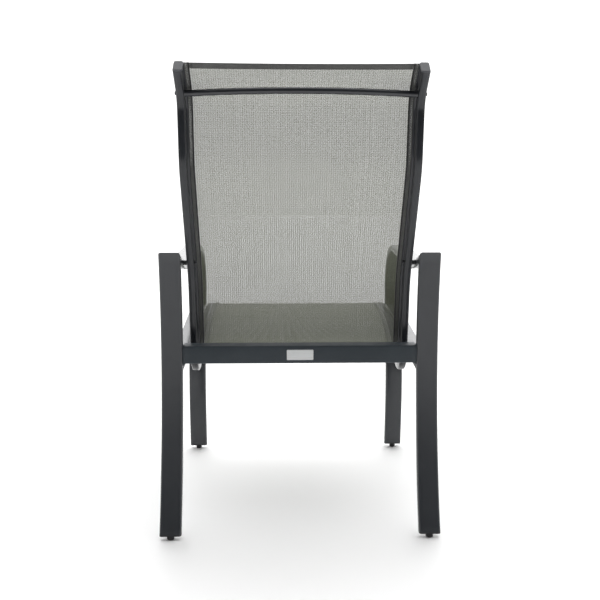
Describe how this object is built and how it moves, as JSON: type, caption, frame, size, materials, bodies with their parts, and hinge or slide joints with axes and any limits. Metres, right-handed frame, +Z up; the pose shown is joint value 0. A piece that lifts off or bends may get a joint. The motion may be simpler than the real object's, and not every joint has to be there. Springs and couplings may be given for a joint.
{
  "type": "sling patio chair",
  "caption": "Stationary high-back patio chair with arms: flat-tube charcoal frame, rolled rails and a light grey mesh sling for seat and back.",
  "frame": {"origin": "on the floor, under the middle of the chair's overall width and depth", "axes": "+X towards the sitter's left, +Y towards the back of the chair, +Z up"},
  "size_m": [0.635, 0.6702, 1.046],
  "materials": {
    "frame": "satin charcoal powder coat on aluminium tube",
    "mesh": "open woven, light grey, see-through",
    "plastic": "matte dark grey",
    "glide": "matte black",
    "fastener": "black zinc",
    "plate": "brushed, bare"
  },
  "bodies": {
    "root": {"back_brace": "frame", "front_stretcher": "frame", "label_plate": "plate", "left_arm_and_front_leg": "frame", "left_brace_screw": "fastener", "left_front_bolt": "fastener", "left_front_glide": "glide", "left_front_insert": "fastener", "left_front_leg_plug": "plastic", "left_front_spacer": "plastic", "left_rail_front_cap": "plastic", "left_rail_top_cap": "plastic", "left_rear_bolt": "fastener", "left_rear_glide": "glide", "left_rear_insert": "fastener", "left_rear_leg": "frame", "left_rear_leg_plug": "plastic", "left_rear_spacer": "plastic", "left_side_stretcher": "frame", "left_sling_rail": "frame", "left_spline": "plastic", "left_upper_bolt": "fastener", "left_upper_insert": "fastener", "left_upper_spacer": "plastic", "rear_stretcher": "frame", "right_arm_and_front_leg": "frame", "right_brace_screw": "fastener", "right_front_bolt": "fastener", "right_front_glide": "glide", "right_front_insert": "fastener", "right_front_leg_plug": "plastic", "right_front_spacer": "plastic", "right_rail_front_cap": "plastic", "right_rail_top_cap": "plastic", "right_rear_bolt": "fastener", "right_rear_glide": "glide", "right_rear_insert": "fastener", "right_rear_leg": "frame", "right_rear_leg_plug": "plastic", "right_rear_spacer": "plastic", "right_side_stretcher": "frame", "right_sling_rail": "frame", "right_spline": "plastic", "right_upper_bolt": "fastener", "right_upper_insert": "fastener", "right_upper_spacer": "plastic", "sling": "mesh"}
  },
  "joints": []
}
